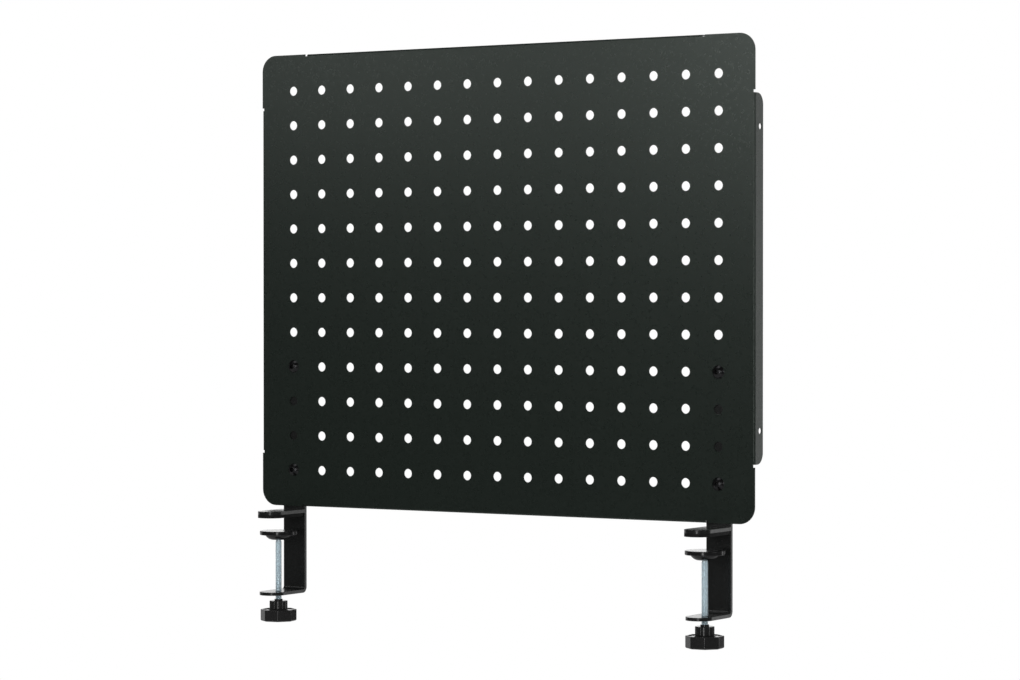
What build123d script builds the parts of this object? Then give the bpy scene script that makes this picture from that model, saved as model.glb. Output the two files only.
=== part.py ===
from build123d import *
import os

# A clamp-on desk pegboard. Millimetres, +X to the right, the front towards -Y, +Z up.
# The origin lies on the desk top at its rear edge, midway between the two clamps: the
# desk's edge meets y = 0, and both upper jaws rest their pads on z = 0.

# pegboard
peg_pitch = 32.0
peg_columns = 15
peg_rows = 12
peg_hole_diameter = 8.5
side_margin = 35.3
end_margin = 33.7
sheet_thickness = 1.0
panel_corner_radius = 15.0
panel_above_jaw = 3.0

# folded flanges of the pegboard
flange_depth = 15.0
flange_bend_radius = 0.6
flange_end_radius = 10.0
flange_beside_strip = 0.4
corner_flat = 48.7
relief_width = 2.4
relief_past_bend = 0.2
side_hole_diameter = 5.5
side_hole_spacing = 260.0
side_hole_setback = 10.0

# clamp strip, bent forward into the lower jaw
strip_width = 24.0
strip_thickness = 3.0
strip_bend_radius = 2.5
lower_jaw_reach = 46.0
jaw_opening = 68.3
upper_screw_row = 9
lower_screw_row = 12

# upper jaw and its soft pad
upper_jaw_reach = 48.5
jaw_thickness = 3.0
weld_leg = 2.0
pad_thickness = 3.0
pad_from_strip = 2.5

# clamp screw
rod_diameter = 6.0
rod_reach = 24.8
rod_clearance = 0.05
rod_end_chamfer = 0.8
ball_diameter = 7.0
ball_clearance = 0.1
neck_diameter = 4.6
neck_below_boss = 0.7

# swivelling pressure pad on the screw's ball end
disc_diameter = 34.4
disc_thickness = 3.8
disc_edge_radius = 0.6
disc_below_desk = 12.6
boss_root_diameter = 25.0
boss_tip_diameter = 14.0
boss_height = 4.4
boss_bulge = 1.1
socket_roof = 1.1
socket_mouth_diameter = 6.4

# knob, moulded round a hexagonal insert
knob_below_jaw = 6.0
knob_diameter = 33.6
knob_sides = 8
knob_corner_radius = 2.5
knob_height = 10.7
knob_top_radius = 0.5
knob_bottom_radius = 1.4
knob_rim_width = 1.8
knob_dish_depth = 0.8
knob_recess_diameter = 15.0
knob_recess_depth = 1.2
hub_diameter = 16.7
hub_height = 7.9
hub_flutes = 8
hub_flute_radius = 2.2
hub_flute_depth = 0.7
hub_top_radius = 0.5
hub_root_height = 1.4
collar_diameter = 7.6
collar_height = 1.5
insert_across_flats = 10.0
insert_height = 8.0
left_knob_angle = -56.5
right_knob_angle = -61.5

# M6 screws that hold the pegboard to the strips
screw_diameter = 6.0
screw_head_diameter = 11.6
screw_head_height = 3.2
screw_socket_across_flats = 4.0
screw_socket_depth = 2.0
screw_past_nut = 1.5
screw_hole_diameter = 6.6
washer_diameter = 12.0
washer_hole_diameter = 6.4
washer_thickness = 1.6
nut_across_flats = 10.0
nut_thickness = 5.0

# places that follow from the sizes
panel_width = (peg_columns - 1) * peg_pitch + 2 * side_margin
panel_height = (peg_rows - 1) * peg_pitch + 2 * end_margin
panel_bottom = pad_thickness + jaw_thickness + panel_above_jaw
panel_middle = panel_bottom + panel_height / 2
clamp_x = (peg_columns - 1) * peg_pitch / 2
flange_outside_radius = flange_bend_radius + sheet_thickness
bottom_flange_end = clamp_x - strip_width / 2 - flange_beside_strip
bottom_corner_flat = panel_width / 2 - bottom_flange_end - relief_width
strip_outside_radius = strip_bend_radius + strip_thickness
lower_jaw_bottom = -jaw_opening - strip_thickness
disc_top = -disc_below_desk
boss_tip = disc_top - disc_thickness - boss_height
ball_centre = disc_top - socket_roof - ball_clearance - ball_diameter / 2
hub_top = lower_jaw_bottom - knob_below_jaw
knob_top = hub_top - hub_height
knob_dish = knob_top - knob_dish_depth
knob_bottom = knob_top - knob_height
insert_bottom = knob_bottom + knob_recess_depth
nut_seat = strip_thickness + washer_thickness
screw_end = nut_seat + nut_thickness + screw_past_nut


def row_height(row):
    """Height of a row of peg holes, counted from 1 at the top."""
    return panel_bottom + end_margin + (peg_rows - row) * peg_pitch


def quarter_bend(inside_radius, thickness, width):
    """Bent sheet about the X axis, from straight ahead at -Y round to straight up at +Z."""
    outside_radius = inside_radius + thickness
    quadrant = Rectangle(outside_radius, outside_radius, align=(Align.MAX, Align.MIN))
    ring = (Circle(outside_radius) - Circle(inside_radius)) & quadrant
    return extrude(Plane.YZ * ring, width / 2, both=True)


def flange(length, hole_spacing=None):
    """One folded edge along X, outwards at +Z, its bend starting at z = 0."""
    depth = flange_depth - sheet_thickness - flange_bend_radius
    leg = Rectangle(length, depth, align=(Align.CENTER, Align.MIN))
    leg = fillet(leg.vertices().sort_by(Axis.Y)[-2:], flange_end_radius)
    if hole_spacing:
        from_bend = side_hole_setback - sheet_thickness - flange_bend_radius
        for hole in GridLocations(hole_spacing, 0, 2, 1):
            leg -= Pos(0, from_bend) * hole * Circle(side_hole_diameter / 2)
    leg = extrude(Pos(0, 0, flange_bend_radius) * leg, sheet_thickness)
    bend = quarter_bend(flange_bend_radius, sheet_thickness, length)
    return Pos(0, flange_bend_radius, 0) * (bend + leg)


def edge_cutback(length):
    """Strip of the blank that a flange takes up, with a relief slot at each end."""
    slot_length = flange_outside_radius + relief_past_bend
    strip = Rectangle(length, flange_outside_radius, align=(Align.CENTER, Align.MAX))
    for end in (-1, 1):
        slot = Rectangle(relief_width, slot_length, align=(Align.CENTER, Align.MAX))
        strip += Pos(end * (length - relief_width) / 2, 0) * slot
    return strip


def pegboard_panel():
    """Perforated steel sheet with its four edges folded back between relief slots."""
    blank = RectangleRounded(panel_width, panel_height, panel_corner_radius)
    pegs = GridLocations(peg_pitch, peg_pitch, peg_columns, peg_rows)
    blank -= [place * Circle(peg_hole_diameter / 2) for place in pegs]
    edges = (
        (0, panel_width, panel_height, corner_flat, None),
        (90, panel_height, panel_width, corner_flat, side_hole_spacing),
        (180, panel_width, panel_height, bottom_corner_flat, None),
        (270, panel_height, panel_width, corner_flat, side_hole_spacing),
    )
    for angle, edge_length, span, flat, _ in edges:
        cutback = edge_cutback(edge_length - 2 * flat)
        blank -= Rot(Z=angle) * Pos(0, span / 2) * cutback
    panel = extrude(Plane.XZ * blank, sheet_thickness)
    for angle, edge_length, span, flat, hole_spacing in edges:
        length = edge_length - 2 * (flat + relief_width)
        edge = Pos(0, 0, span / 2 - flange_outside_radius) * flange(length, hole_spacing)
        panel += Rot(Y=angle) * edge
    return Pos(0, 0, panel_middle) * panel


def rounded_strip(length, width):
    """Flat strip along +X with a full round at its far end."""
    straight = Rectangle(length - width / 2, width, align=(Align.MIN, Align.CENTER))
    return straight + Pos(length - width / 2, 0) * Circle(width / 2)


def jaw_plate(reach, thickness):
    """Jaw running forward from y = 0, with a full round at its tip, standing on z = 0."""
    return extrude(Rot(Z=-90) * rounded_strip(reach, strip_width), thickness)


def clamp_bracket():
    """Steel strip behind the pegboard, bent forward at its foot into the lower jaw."""
    bend_centre = Pos(0, strip_thickness - strip_outside_radius, lower_jaw_bottom + strip_outside_radius)
    foot = lower_jaw_bottom + strip_outside_radius
    top = row_height(upper_screw_row) + strip_width / 2
    web = Plane.XZ * (Pos(0, foot) * Rot(Z=90) * rounded_strip(top - foot, strip_width))
    web = Pos(0, strip_thickness, 0) * extrude(web, strip_thickness)
    for row in (upper_screw_row, lower_screw_row):
        hole = Rot(X=90) * Cylinder(screw_hole_diameter / 2, 3 * strip_thickness)
        web -= Pos(0, strip_thickness / 2, row_height(row)) * hole
    bend = Rot(X=180) * quarter_bend(strip_bend_radius, strip_thickness, strip_width)
    jaw = Pos(0, -strip_bend_radius, lower_jaw_bottom) * jaw_plate(
        lower_jaw_reach - strip_bend_radius, strip_thickness
    )
    jaw -= Pos(0, -rod_reach, lower_jaw_bottom) * Cylinder(
        rod_diameter / 2 + rod_clearance, 3 * strip_thickness
    )
    return web + bend_centre * bend + jaw


def upper_jaw():
    """Flat jaw welded across the front of the strip, with its weld bead underneath."""
    jaw = jaw_plate(upper_jaw_reach, jaw_thickness)
    bead = Plane.YZ * Polygon((0, 0), (-weld_leg, 0), (0, -weld_leg), align=None)
    bead = extrude(bead, strip_width / 2 - weld_leg, both=True)
    return Pos(0, 0, pad_thickness) * (jaw + bead)


def jaw_pad():
    """Soft pad under the upper jaw, which rests on the desk."""
    return Pos(0, -pad_from_strip, 0) * jaw_plate(upper_jaw_reach - pad_from_strip, pad_thickness)


def clamp_screw():
    """Rod with a ball end that carries the pressure pad; its foot is held in the knob."""
    radius = rod_diameter / 2
    neck_foot = boss_tip - neck_below_boss
    rod = Pos(0, 0, insert_bottom) * Cylinder(
        radius, neck_foot - insert_bottom, align=(Align.CENTER, Align.CENTER, Align.MIN)
    )
    rod = chamfer(rod.edges().filter_by(GeomType.CIRCLE), rod_end_chamfer)
    neck = Pos(0, 0, neck_foot) * Cylinder(
        neck_diameter / 2, ball_centre - neck_foot, align=(Align.CENTER, Align.CENTER, Align.MIN)
    )
    ball = Pos(0, 0, ball_centre) * Sphere(ball_diameter / 2)
    return Pos(0, -rod_reach, 0) * (rod + neck + ball)


def pressure_pad():
    """Round pad with a domed boss below, snapped over the screw's ball."""
    rim_foot = disc_top - disc_thickness
    boss_middle = ((boss_root_diameter + boss_tip_diameter) / 4 + boss_bulge, rim_foot - boss_height / 2)
    profile = Polyline(
        (0, boss_tip),
        (0, disc_top),
        (disc_diameter / 2, disc_top),
        (disc_diameter / 2, rim_foot),
        (boss_root_diameter / 2, rim_foot),
    )
    boss = ThreePointArc(profile @ 1, boss_middle, (boss_tip_diameter / 2, boss_tip))
    section = make_face(profile + boss + Line(boss @ 1, profile @ 0))
    section = fillet(section.vertices().sort_by(Axis.X)[-2:], disc_edge_radius)
    pad = revolve(Plane.XZ * section, Axis.Z)
    pad -= Pos(0, 0, ball_centre) * Sphere(ball_diameter / 2 + ball_clearance)
    pad -= Pos(0, 0, boss_tip) * Cylinder(
        socket_mouth_diameter / 2, ball_centre - boss_tip, align=(Align.CENTER, Align.CENTER, Align.MIN)
    )
    return Pos(0, -rod_reach, 0) * pad


def knob_insert():
    """Hexagonal insert in the knob's hub, fixed on the foot of the screw."""
    hexagon = RegularPolygon(insert_across_flats / 2, 6, major_radius=False)
    insert = extrude(hexagon - Circle(rod_diameter / 2), insert_height)
    return Pos(0, -rod_reach, insert_bottom) * insert


def clamp_knob():
    """Eight-sided knob with a dished top and a fluted hub, moulded round the insert."""
    outline = fillet(RegularPolygon(knob_diameter / 2, knob_sides).vertices(), knob_corner_radius)
    grip = Pos(0, 0, knob_bottom) * extrude(outline, knob_height)
    grip -= Pos(0, 0, knob_dish) * extrude(offset(outline, -knob_rim_width), knob_height)
    grip = fillet(grip.edges().group_by(Axis.Z)[-1], knob_top_radius)
    grip = fillet(grip.edges().group_by(Axis.Z)[0], knob_bottom_radius)
    flute_place = hub_diameter / 2 + hub_flute_radius - hub_flute_depth
    flutes = PolarLocations(flute_place, hub_flutes, 180 / hub_flutes)
    hub = Circle(hub_diameter / 2) - [place * Circle(hub_flute_radius) for place in flutes]
    hub = Pos(0, 0, knob_dish) * extrude(hub, hub_top - knob_dish)
    hub = fillet(hub.edges().group_by(Axis.Z)[-1], hub_top_radius)
    root = Pos(0, 0, knob_dish + hub_root_height / 2) * Cone(
        hub_diameter / 2 + hub_root_height, hub_diameter / 2 - hub_flute_depth, hub_root_height
    )
    collar = Pos(0, 0, hub_top + collar_height / 2) * Cylinder(collar_diameter / 2, collar_height)
    knob = grip + hub + root + collar
    knob -= Pos(0, 0, knob_bottom) * Cylinder(knob_recess_diameter / 2, 2 * knob_recess_depth)
    knob -= Cylinder(rod_diameter / 2, -2 * insert_bottom)
    hexagon = RegularPolygon(insert_across_flats / 2, 6, major_radius=False)
    knob -= Pos(0, 0, insert_bottom) * extrude(hexagon, insert_height)
    return Pos(0, -rod_reach, 0) * knob


def in_both_rows(piece):
    """A fastener along Y, repeated at the upper and the lower screw row."""
    rows = (upper_screw_row, lower_screw_row)
    return Compound(children=[Pos(0, 0, row_height(row)) * piece for row in rows])


def panel_screw():
    """Button-head screw from the pegboard's face through the strip."""
    dome = Sphere((screw_head_diameter**2 / 4 + screw_head_height**2) / (2 * screw_head_height))
    dome = Pos(0, 0, screw_head_height - dome.radius) * dome
    head = dome & Cylinder(
        screw_head_diameter, screw_head_height, align=(Align.CENTER, Align.CENTER, Align.MIN)
    )
    socket = RegularPolygon(screw_socket_across_flats / 2, 6, major_radius=False)
    head -= Pos(0, 0, screw_head_height - screw_socket_depth) * extrude(socket, screw_head_height)
    shank = Cylinder(
        screw_diameter / 2,
        sheet_thickness + screw_end,
        align=(Align.CENTER, Align.CENTER, Align.MAX),
    )
    return Pos(0, -sheet_thickness, 0) * Rot(X=90) * (head + shank)


def panel_washer():
    """Plain washer behind the strip."""
    ring = Circle(washer_diameter / 2) - Circle(washer_hole_diameter / 2)
    return Pos(0, nut_seat, 0) * extrude(Plane.XZ * ring, washer_thickness)


def panel_nut():
    """Hexagon nut on the washer."""
    hexagon = RegularPolygon(nut_across_flats / 2, 6, major_radius=False) - Circle(screw_diameter / 2)
    return Pos(0, nut_seat + nut_thickness, 0) * extrude(Plane.XZ * hexagon, nut_thickness)


os.makedirs("parts", exist_ok=True)
export_step(pegboard_panel(), "parts/pegboard_panel.step")
clamp_pieces = {
    "clamp_bracket": clamp_bracket(),
    "upper_jaw": upper_jaw(),
    "jaw_pad": jaw_pad(),
    "clamp_screw": clamp_screw(),
    "pressure_pad": pressure_pad(),
    "panel_screws": in_both_rows(panel_screw()),
    "panel_washers": in_both_rows(panel_washer()),
    "panel_nuts": in_both_rows(panel_nut()),
}
knob_axis = Axis((0, -rod_reach, 0), (0, 0, 1))
for side, knob_angle, side_x in (
    ("left", left_knob_angle, -clamp_x),
    ("right", right_knob_angle, clamp_x),
):
    for name, piece in clamp_pieces.items():
        export_step(Pos(side_x, 0, 0) * piece, f"parts/{side}_{name}.step")
    for name, piece in (("clamp_knob", clamp_knob()), ("knob_insert", knob_insert())):
        turned = piece.rotate(knob_axis, knob_angle)
        export_step(Pos(side_x, 0, 0) * turned, f"parts/{side}_{name}.step")
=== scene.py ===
import math

import bmesh
import bpy
from mathutils import Euler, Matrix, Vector


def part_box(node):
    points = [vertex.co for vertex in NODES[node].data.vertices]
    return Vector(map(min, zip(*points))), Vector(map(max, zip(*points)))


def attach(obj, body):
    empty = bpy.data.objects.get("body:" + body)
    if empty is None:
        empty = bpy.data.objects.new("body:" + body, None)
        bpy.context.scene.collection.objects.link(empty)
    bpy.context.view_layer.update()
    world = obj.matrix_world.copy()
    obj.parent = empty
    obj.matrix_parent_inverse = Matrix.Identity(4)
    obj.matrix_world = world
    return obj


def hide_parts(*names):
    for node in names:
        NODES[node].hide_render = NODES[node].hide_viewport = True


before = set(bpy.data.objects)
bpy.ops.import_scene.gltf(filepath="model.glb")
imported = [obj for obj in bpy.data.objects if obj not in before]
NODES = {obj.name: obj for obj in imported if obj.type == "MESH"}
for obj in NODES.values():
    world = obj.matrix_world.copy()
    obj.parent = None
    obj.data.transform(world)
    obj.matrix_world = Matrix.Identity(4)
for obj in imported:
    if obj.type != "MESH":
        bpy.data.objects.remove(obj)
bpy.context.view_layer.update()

SIDES = ("left", "right")
MM = 0.001
WHITE = (1, 1, 1, 1)

# ---- camera: fitted to the centres of the peg holes in the photograph ----
CAMERA_PLACE = (1.5354, -2.4363, 0.1990)
CAMERA_YAW = math.radians(32.001)     # about +Z, turned from looking along +Y
CAMERA_DOWN = math.radians(0.680)     # below the horizon
CAMERA_FOCAL = 113.70                 # millimetres
CAMERA_SENSOR_WIDTH = 36.0            # millimetres
CAMERA_NEAR = 0.05
CAMERA_FAR = 50.0

# ---- floor: well below the knobs, because the photograph shows no ground ----
FLOOR_HEIGHT = -0.40
FLOOR_RADIUS = 2.2
FLOOR_CLEAR_RADIUS = 1.1              # beyond this the floor fades into the white surroundings
FLOOR_GONE_RADIUS = FLOOR_RADIUS * 0.95
FLOOR_RINGS = 24
FLOOR_SEGMENTS = 96
FLOOR_COLOUR = (0.50, 0.50, 0.50)
FLOOR_LIFT = 0.55                     # glow that the camera sees on top of the light on the floor
FLOOR_LIFT_IN_MIRRORS = 0.10          # share of that glow that mirrors see

# ---- surroundings ----
AMBIENT = 0.58                        # light on dull surfaces from all round
SURROUNDINGS_IN_MIRRORS = 0.08
WALL_HALF_ANGLE = math.radians(12)    # mirrors see white this far round straight behind the object
WALL_FADE_ANGLE = math.radians(20)    # and over this much more it falls to the dim surroundings

# ---- lamps ----
LAMP_AIM = (0.0, 0.0, 0.15)
LAMP_DISTANCE = 2.4
# name: degrees round from straight in front towards the right, degrees up, width, height, radiance
SOFTBOXES = {
    "window_pane_1": (-46, 13, 0.4, 0.4, 1.3),
    "window_pane_2": (-36, 14, 0.4, 0.4, 2.6),
    "window_pane_3": (-18, 14, 0.4, 0.4, 7.5),
    "window_pane_4": (0, 8, 0.4, 0.4, 4.2),
    "left_wall": (-102, 0, 0.9, 1.4, 0.65),
    "right_strip": (22, 1, 0.30, 1.4, 5.6),
    "front_right_box": (40, 8, 0.5, 0.5, 3.6),
    "right_box": (88, 10, 0.8, 0.8, 2.6),
    "rear_right_box": (146, 0, 0.50, 1.6, 1.35),
    "rear_box": (-148, 9, 1.2, 0.6, 0.8),
    "overhead_box": (-30, 75, 1.4, 1.4, 1.2),
}

# ---- clamp screw, M6 ----
ROD_RADIUS = 3.0 * MM
ROD_CHAMFER = 0.35 * MM
ROD_SEGMENTS = 28
THREAD_PITCH = 1.0 * MM
THREAD_DEPTH = 0.55 * MM
# share of the pitch, share of the depth: from the root up to the crest
THREAD_PROFILE = ((0.0, 1.0), (0.28, 1.0), (0.55, 0.0), (0.72, 0.0))
CORE_RADIUS = ROD_RADIUS - THREAD_DEPTH
BALL_RADIUS = 3.5 * MM
BALL_DEGREES = range(-84, 91, 6)      # latitudes of the ball's rings, up to its top
NECK_RADIUS = 2.3 * MM
NECK_FLARE = 0.1 * MM                 # wider by this where it meets the rod
NECK_LENGTH = 4.6 * MM                # from the ball's middle to the rod
MERGE_DISTANCE = 0.001 * MM           # points nearer than this become one

# ---- rounded edges ----
PANEL_EDGE = 0.36 * MM
EDGES = {
    "clamp_bracket": 0.35 * MM,
    "upper_jaw": 0.35 * MM,
    "jaw_pad": 0.25 * MM,
    "panel_screws": 0.30 * MM,
}
EDGE_SEGMENTS = 2
SHARP_ANGLE = math.radians(40)        # flatter edges than this stay as they are

# ---- noise: features per metre, and the middle range of values that is used ----
MOTTLE_SCALE = 35.0
PATCH_SCALE = 420.0
PEEL_SCALE = 520.0
GRAIN_SCALE = 2600.0
METAL_COLOUR_SCALE = 900.0
METAL_PATCH_SCALE = 1500.0
METAL_BRUSH_SCALE = 3000.0
NOISE_RANGE = (0.3, 0.7)
COLOUR_RANGE = (0.32, 0.68)


# ---------------------------------------------------------------- materials
def new_material(name):
    material = bpy.data.materials.new(name)
    material.use_nodes = True
    tree = material.node_tree
    tree.nodes.clear()
    return material, tree


def noise(tree, scale, detail, stretch=(1, 1, 1)):
    """Noise in object space, from 0 to 1."""
    coordinates = tree.nodes.new("ShaderNodeTexCoord")
    mapping = tree.nodes.new("ShaderNodeMapping")
    mapping.inputs["Scale"].default_value = stretch
    texture = tree.nodes.new("ShaderNodeTexNoise")
    texture.inputs["Scale"].default_value = scale
    texture.inputs["Detail"].default_value = detail
    tree.links.new(coordinates.outputs["Object"], mapping.inputs["Vector"])
    tree.links.new(mapping.outputs["Vector"], texture.inputs["Vector"])
    return texture.outputs["Fac"]


def remap(tree, value, low, high):
    """Spread the middle range of a noise between two numbers."""
    node = tree.nodes.new("ShaderNodeMapRange")
    node.inputs["From Min"].default_value = NOISE_RANGE[0]
    node.inputs["From Max"].default_value = NOISE_RANGE[1]
    node.inputs["To Min"].default_value = low
    node.inputs["To Max"].default_value = high
    tree.links.new(value, node.inputs["Value"])
    return node.outputs["Result"]


def two_colours(tree, value, dark, light):
    """Blend two colours over the middle range of a noise."""
    ramp = tree.nodes.new("ShaderNodeValToRGB")
    for element, position, colour in zip(ramp.color_ramp.elements, COLOUR_RANGE, (dark, light)):
        element.position = position
        element.color = (*colour, 1)
    tree.links.new(value, ramp.inputs["Fac"])
    return ramp.outputs["Color"]


def bump(tree, height, distance, below=None):
    node = tree.nodes.new("ShaderNodeBump")
    node.inputs["Strength"].default_value = 1.0
    node.inputs["Distance"].default_value = distance
    tree.links.new(height, node.inputs["Height"])
    if below:
        tree.links.new(below, node.inputs["Normal"])
    return node.outputs["Normal"]


def finish_surface(tree, colour, roughness, normal, **sockets):
    """Principled shader; sockets are its constant inputs, with _ for the spaces in their names."""
    shader = tree.nodes.new("ShaderNodeBsdfPrincipled")
    tree.links.new(colour, shader.inputs["Base Color"])
    tree.links.new(roughness, shader.inputs["Roughness"])
    tree.links.new(normal, shader.inputs["Normal"])
    for socket, value in sockets.items():
        shader.inputs[socket.replace("_", " ")].default_value = value
    output = tree.nodes.new("ShaderNodeOutputMaterial")
    tree.links.new(shader.outputs["BSDF"], output.inputs["Surface"])


def coated(name, dark, light, roughness, peel, grain, **sockets):
    """Paint, plastic or rubber: a slow mottle in the colour, orange peel and fine grain."""
    material, tree = new_material(name)
    colour = two_colours(tree, noise(tree, MOTTLE_SCALE, 3.0), dark, light)
    rough = remap(tree, noise(tree, PATCH_SCALE, 3.0), *roughness)
    peel_normal = bump(tree, noise(tree, PEEL_SCALE, 1.0), peel)
    normal = bump(tree, noise(tree, GRAIN_SCALE, 2.0), grain, below=peel_normal)
    finish_surface(tree, colour, rough, normal, **sockets)
    return material


def plated(name, dark, light, roughness, brush, stretch=(1, 1, 1), metallic=1.0):
    """Bare or plated metal, with fine marks that a stretch below 1 draws out along that axis."""
    material, tree = new_material(name)
    colour = two_colours(tree, noise(tree, METAL_COLOUR_SCALE, 3.0, stretch), dark, light)
    rough = remap(tree, noise(tree, METAL_PATCH_SCALE, 2.0, stretch), *roughness)
    normal = bump(tree, noise(tree, METAL_BRUSH_SCALE, 2.0, stretch), brush)
    finish_surface(tree, colour, rough, normal, Metallic=metallic)
    return material


def dress(piece, material):
    piece.data.materials.clear()
    piece.data.materials.append(material)


PANEL_PAINT = coated(
    "panel_powder_coat", dark=(0.0054, 0.0092, 0.0068), light=(0.0060, 0.0100, 0.0075),
    roughness=(0.265, 0.325), peel=0.00001, grain=0.000004,
    IOR=1.5, Specular_Tint=(0.90, 1.0, 0.93, 1),
)
CLAMP_PAINT = coated(
    "clamp_gloss_black", dark=(0.0064, 0.0070, 0.0067), light=(0.0076, 0.0082, 0.0079),
    roughness=(0.20, 0.28), peel=0.00002, grain=0.000006, IOR=1.5,
)
KNOB_PLASTIC = coated(
    "knob_moulded_plastic", dark=(0.0105, 0.0105, 0.0105), light=(0.0135, 0.0135, 0.0135),
    roughness=(0.17, 0.24), peel=0.00001, grain=0.00001, IOR=1.47,
)
PAD_PLASTIC = coated(
    "pressure_pad_plastic", dark=(0.0050, 0.0050, 0.0052), light=(0.0065, 0.0065, 0.0067),
    roughness=(0.16, 0.24), peel=0.00001, grain=0.000008, IOR=1.49,
)
PAD_RUBBER = coated(
    "jaw_pad_rubber", dark=(0.0040, 0.0040, 0.0040), light=(0.0060, 0.0060, 0.0060),
    roughness=(0.50, 0.62), peel=0.00001, grain=0.00004, IOR=1.45, Specular_IOR_Level=0.2,
)
SCREW_BLACK = plated(
    "screw_black_oxide", dark=(0.030, 0.030, 0.031), light=(0.048, 0.048, 0.050),
    roughness=(0.22, 0.32), brush=0.000008,
)
ZINC = plated(
    "rod_zinc_plate", dark=(0.68, 0.83, 0.91), light=(0.75, 0.89, 0.95),
    roughness=(0.24, 0.34), brush=0.00001, stretch=(1, 1, 0.15), metallic=0.6,
)
BRASS = plated(
    "insert_brass", dark=(0.60, 0.43, 0.17), light=(0.72, 0.54, 0.24),
    roughness=(0.25, 0.40), brush=0.00001, stretch=(1, 1, 0.3),
)
NODE_FINISH = {
    "clamp_bracket": CLAMP_PAINT,
    "upper_jaw": CLAMP_PAINT,
    "jaw_pad": PAD_RUBBER,
    "pressure_pad": PAD_PLASTIC,
    "clamp_knob": KNOB_PLASTIC,
    "knob_insert": BRASS,
    "clamp_screw": ZINC,
    "panel_screws": SCREW_BLACK,
    "panel_washers": SCREW_BLACK,
    "panel_nuts": SCREW_BLACK,
}

dress(NODES["pegboard_panel"], PANEL_PAINT)
for side in SIDES:
    for name, material in NODE_FINISH.items():
        dress(NODES[f"{side}_{name}"], material)


# ---------------------------------------------------------------- edges
def soften(piece, width):
    """Paint and deburring round every sharp edge a little, which is where the light catches."""
    modifier = piece.modifiers.new("edge_round", "BEVEL")
    modifier.width = width
    modifier.segments = EDGE_SEGMENTS
    modifier.limit_method = "ANGLE"
    modifier.angle_limit = SHARP_ANGLE
    modifier.harden_normals = True


soften(NODES["pegboard_panel"], PANEL_EDGE)
for side in SIDES:
    for name, width in EDGES.items():
        soften(NODES[f"{side}_{name}"], width)


# ---------------------------------------------------------------- meshes
def ring_faces(rows, columns, wrap_rows=0):
    """Quads of a grid of rings; the seam joins wrap_rows further along, as on a helix."""
    faces = []
    for row in range(rows - 1):
        for column in range(columns):
            beside = (column + 1) % columns
            shift = wrap_rows if beside == 0 else 0
            if row + 1 + shift >= rows:
                continue
            faces.append((
                row * columns + column,
                (row + shift) * columns + beside,
                (row + 1 + shift) * columns + beside,
                (row + 1) * columns + column,
            ))
    return faces


def turned_surface(profile, segments):
    """Points and faces of a turned form from (radius, height) pairs."""
    points = []
    for radius, height in profile:
        for column in range(segments):
            angle = 2 * math.pi * column / segments
            points.append((radius * math.cos(angle), radius * math.sin(angle), height))
    return points, ring_faces(len(profile), segments)


def thread_surface(low, high):
    """Points and faces of the thread between two heights, chamfered to its core at both ends."""
    turns = math.ceil((high - low) / THREAD_PITCH) + 1
    points = []
    for turn in range(-1, turns):
        for along, depth in THREAD_PROFILE:
            for column in range(ROD_SEGMENTS):
                turned = column / ROD_SEGMENTS
                height = low + THREAD_PITCH * (turn + along + turned)
                height = min(max(height, low), high)
                from_end = min(height - low, high - height)
                radius = min(ROD_RADIUS - depth * THREAD_DEPTH, CORE_RADIUS + from_end)
                angle = 2 * math.pi * turned
                points.append((radius * math.cos(angle), radius * math.sin(angle), height))
    rows = len(points) // ROD_SEGMENTS
    return points, ring_faces(rows, ROD_SEGMENTS, wrap_rows=len(THREAD_PROFILE))


def merge_and_smooth(mesh):
    """Join the rings that meet, drop the faces that this closes up, and shade smooth."""
    shell = bmesh.new()
    shell.from_mesh(mesh)
    bmesh.ops.remove_doubles(shell, verts=shell.verts, dist=MERGE_DISTANCE)
    for face in shell.faces:
        face.smooth = True
    shell.to_mesh(mesh)
    shell.free()


def build_piece(name, parts, place):
    """One object from several lists of points and faces, moved to a place."""
    points, faces = [], []
    for part_points, part_faces in parts:
        start = len(points)
        points += [tuple(Vector(point) + Vector(place)) for point in part_points]
        faces += [tuple(index + start for index in face) for face in part_faces]
    mesh = bpy.data.meshes.new(name)
    mesh.from_pydata(points, [], faces)
    merge_and_smooth(mesh)
    piece = bpy.data.objects.new(name, mesh)
    bpy.context.scene.collection.objects.link(piece)
    return piece


# ---------------------------------------------------------------- threaded rods
def rod_foot(foot):
    """Profile of the rod's flat lower end and its chamfer."""
    return [(0, foot), (CORE_RADIUS - ROD_CHAMFER, foot), (CORE_RADIUS, foot + ROD_CHAMFER)]


def rod_head(rod_top, ball):
    """Profile from the top of the thread over the neck to the top of the ball."""
    neck_meets_ball = -math.acos(NECK_RADIUS / BALL_RADIUS)
    profile = [
        (CORE_RADIUS, rod_top - ROD_CHAMFER),
        (NECK_RADIUS + NECK_FLARE, rod_top),
        (NECK_RADIUS, rod_top + ROD_CHAMFER),
    ]
    for latitude in map(math.radians, BALL_DEGREES):
        if latitude > neck_meets_ball:
            height = ball + BALL_RADIUS * math.sin(latitude)
            profile.append((BALL_RADIUS * math.cos(latitude), height))
    return profile


def threaded_rod(side):
    """Clamp screw with its thread, neck and ball, in place of the plain CAD rod."""
    low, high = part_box(f"{side}_clamp_screw")
    axis = ((low.x + high.x) / 2, (low.y + high.y) / 2, 0)
    ball = high.z - BALL_RADIUS
    rod_top = ball - NECK_LENGTH
    parts = [
        thread_surface(low.z + ROD_CHAMFER, rod_top - ROD_CHAMFER),
        turned_surface(rod_head(rod_top, ball), ROD_SEGMENTS),
        turned_surface(rod_foot(low.z), ROD_SEGMENTS),
    ]
    piece = build_piece(f"{side}_threaded_rod", parts, axis)
    dress(piece, ZINC)
    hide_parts(f"{side}_clamp_screw")
    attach(piece, f"{side}_screw")


for side in SIDES:
    threaded_rod(side)


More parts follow.
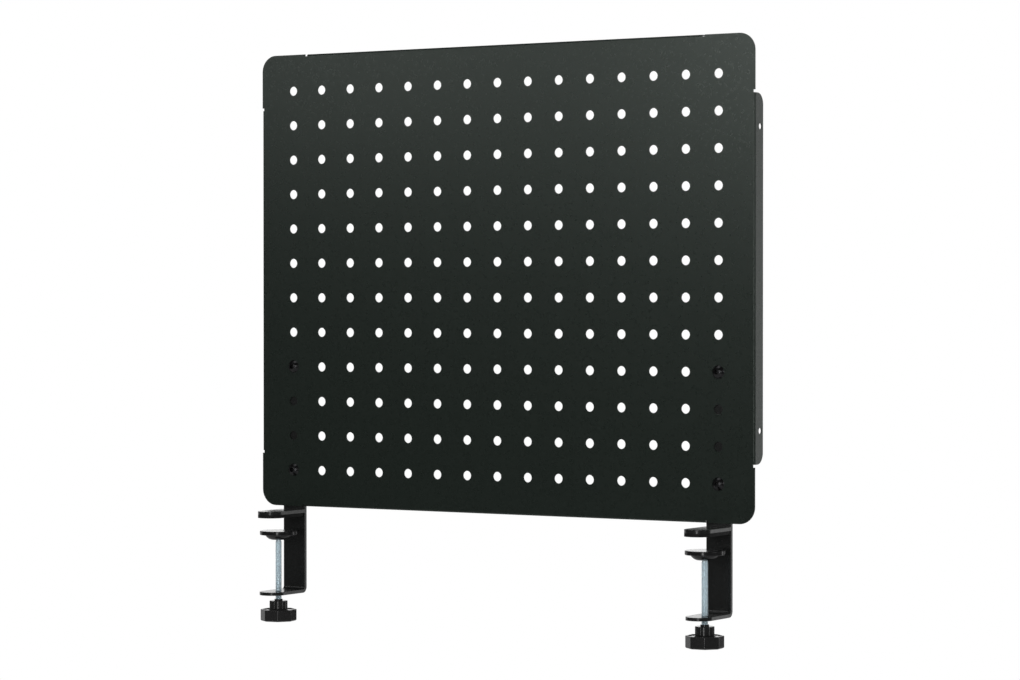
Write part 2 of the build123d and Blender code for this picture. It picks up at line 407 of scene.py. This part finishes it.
# ---------------------------------------------------------------- floor
def scaled(tree, value, factor):
    node = tree.nodes.new("ShaderNodeMath")
    node.operation = "MULTIPLY"
    node.inputs[1].default_value = factor
    tree.links.new(value, node.inputs[0])
    return node.outputs["Value"]


def larger(tree, first, second):
    node = tree.nodes.new("ShaderNodeMath")
    node.operation = "MAXIMUM"
    tree.links.new(first, node.inputs[0])
    tree.links.new(second, node.inputs[1])
    return node.outputs["Value"]


def mixed(tree, share, first, second):
    """The second shader where share is 1, and the first where it is 0."""
    node = tree.nodes.new("ShaderNodeMixShader")
    tree.links.new(share, node.inputs["Fac"])
    tree.links.new(first, node.inputs[1])
    tree.links.new(second, node.inputs[2])
    return node.outputs["Shader"]


def straight_rays(tree, rays):
    """1 for rays from the camera or through glass."""
    return larger(tree, rays.outputs["Is Camera Ray"], rays.outputs["Is Transmission Ray"])


def floor_fade(tree):
    """0 round the middle of the floor, rising to 1 before its rim."""
    coordinates = tree.nodes.new("ShaderNodeTexCoord")
    length = tree.nodes.new("ShaderNodeVectorMath")
    length.operation = "LENGTH"
    tree.links.new(coordinates.outputs["Object"], length.inputs[0])
    fade = tree.nodes.new("ShaderNodeMapRange")
    fade.interpolation_type = "SMOOTHSTEP"
    fade.inputs["From Min"].default_value = FLOOR_CLEAR_RADIUS
    fade.inputs["From Max"].default_value = FLOOR_GONE_RADIUS
    tree.links.new(length.outputs["Value"], fade.inputs["Value"])
    return fade.outputs["Result"]


def floor_glow(tree):
    """White glow for the camera and glass, a little for mirrors, and none that lights things."""
    rays = tree.nodes.new("ShaderNodeLightPath")
    mirrored = scaled(tree, rays.outputs["Is Glossy Ray"], FLOOR_LIFT_IN_MIRRORS)
    seen = larger(tree, straight_rays(tree, rays), mirrored)
    glow = tree.nodes.new("ShaderNodeEmission")
    glow.inputs["Color"].default_value = WHITE
    tree.links.new(scaled(tree, seen, FLOOR_LIFT), glow.inputs["Strength"])
    return glow.outputs["Emission"]


def floor_material():
    """Pale dull floor that keeps shadows and fades into the white surroundings."""
    material, tree = new_material("stage_floor")
    diffuse = tree.nodes.new("ShaderNodeBsdfDiffuse")
    diffuse.inputs["Color"].default_value = (*FLOOR_COLOUR, 1)
    lit = tree.nodes.new("ShaderNodeAddShader")
    tree.links.new(diffuse.outputs["BSDF"], lit.inputs[0])
    tree.links.new(floor_glow(tree), lit.inputs[1])
    clear = tree.nodes.new("ShaderNodeBsdfTransparent")
    surface = mixed(tree, floor_fade(tree), lit.outputs["Shader"], clear.outputs["BSDF"])
    output = tree.nodes.new("ShaderNodeOutputMaterial")
    tree.links.new(surface, output.inputs["Surface"])
    return material


floor_profile = [(FLOOR_RADIUS * ring / FLOOR_RINGS, FLOOR_HEIGHT) for ring in range(FLOOR_RINGS + 1)]
floor = build_piece("stage_floor", [turned_surface(floor_profile, FLOOR_SEGMENTS)], (0, 0, 0))
dress(floor, floor_material())


# ---------------------------------------------------------------- light
def softbox(name, azimuth, elevation, width, height, radiance):
    """Area lamp of an even radiance, unseen by the camera itself, aimed at the object."""
    turned, raised = math.radians(azimuth), math.radians(elevation)
    outward = Vector((
        math.sin(turned) * math.cos(raised),
        -math.cos(turned) * math.cos(raised),
        math.sin(raised),
    ))
    lamp = bpy.data.lights.new(name, "AREA")
    lamp.shape = "RECTANGLE"
    lamp.size = width
    lamp.size_y = height
    lamp.energy = radiance * math.pi * width * height
    box = bpy.data.objects.new(name, lamp)
    box.location = Vector(LAMP_AIM) + LAMP_DISTANCE * outward
    box.rotation_euler = (-outward).to_track_quat("-Z", "Y").to_euler()
    box.visible_camera = False
    bpy.context.scene.collection.objects.link(box)


def background(tree, strength):
    node = tree.nodes.new("ShaderNodeBackground")
    node.inputs["Color"].default_value = WHITE
    node.inputs["Strength"].default_value = strength
    return node


def wall_in_mirrors(tree):
    """Strength of what mirrors see: 1 straight behind the object, falling to dim all round."""
    coordinates = tree.nodes.new("ShaderNodeTexCoord")
    towards_wall = tree.nodes.new("ShaderNodeVectorMath")
    towards_wall.operation = "DOT_PRODUCT"
    towards_wall.inputs[1].default_value = (-math.sin(CAMERA_YAW), math.cos(CAMERA_YAW), 0)
    tree.links.new(coordinates.outputs["Generated"], towards_wall.inputs[0])
    wall = tree.nodes.new("ShaderNodeMapRange")
    wall.interpolation_type = "SMOOTHSTEP"
    wall.inputs["From Min"].default_value = math.cos(WALL_HALF_ANGLE + WALL_FADE_ANGLE)
    wall.inputs["From Max"].default_value = math.cos(WALL_HALF_ANGLE)
    wall.inputs["To Min"].default_value = SURROUNDINGS_IN_MIRRORS
    wall.inputs["To Max"].default_value = 1.0
    tree.links.new(towards_wall.outputs["Value"], wall.inputs["Value"])
    return wall.outputs["Result"]


def studio_world():
    """White for the camera, a white wall and dim surroundings for mirrors, soft light for the rest."""
    world = bpy.data.worlds.new("studio")
    world.use_nodes = True
    bpy.context.scene.world = world
    tree = world.node_tree
    tree.nodes.clear()
    rays = tree.nodes.new("ShaderNodeLightPath")
    soft = background(tree, AMBIENT)
    seen = background(tree, 1.0)
    mirrored = background(tree, 1.0)
    tree.links.new(wall_in_mirrors(tree), mirrored.inputs["Strength"])
    glossy_ray = rays.outputs["Is Glossy Ray"]
    bounced = mixed(tree, glossy_ray, soft.outputs["Background"], mirrored.outputs["Background"])
    surface = mixed(tree, straight_rays(tree, rays), bounced, seen.outputs["Background"])
    output = tree.nodes.new("ShaderNodeOutputWorld")
    tree.links.new(surface, output.inputs["Surface"])


for name, settings in SOFTBOXES.items():
    softbox(name, *settings)
studio_world()

# ---------------------------------------------------------------- camera
lens = bpy.data.cameras.new("photo_camera")
lens.sensor_fit = "HORIZONTAL"
lens.sensor_width = CAMERA_SENSOR_WIDTH
lens.lens = CAMERA_FOCAL
lens.clip_start = CAMERA_NEAR
lens.clip_end = CAMERA_FAR
camera = bpy.data.objects.new("photo_camera", lens)
camera.location = CAMERA_PLACE
camera.rotation_euler = Euler((math.pi / 2 - CAMERA_DOWN, 0, CAMERA_YAW), "XYZ")
bpy.context.scene.collection.objects.link(camera)
bpy.context.scene.camera = camera
bpy.context.scene.view_settings.view_transform = "Standard"

bpy.context.view_layer.update()
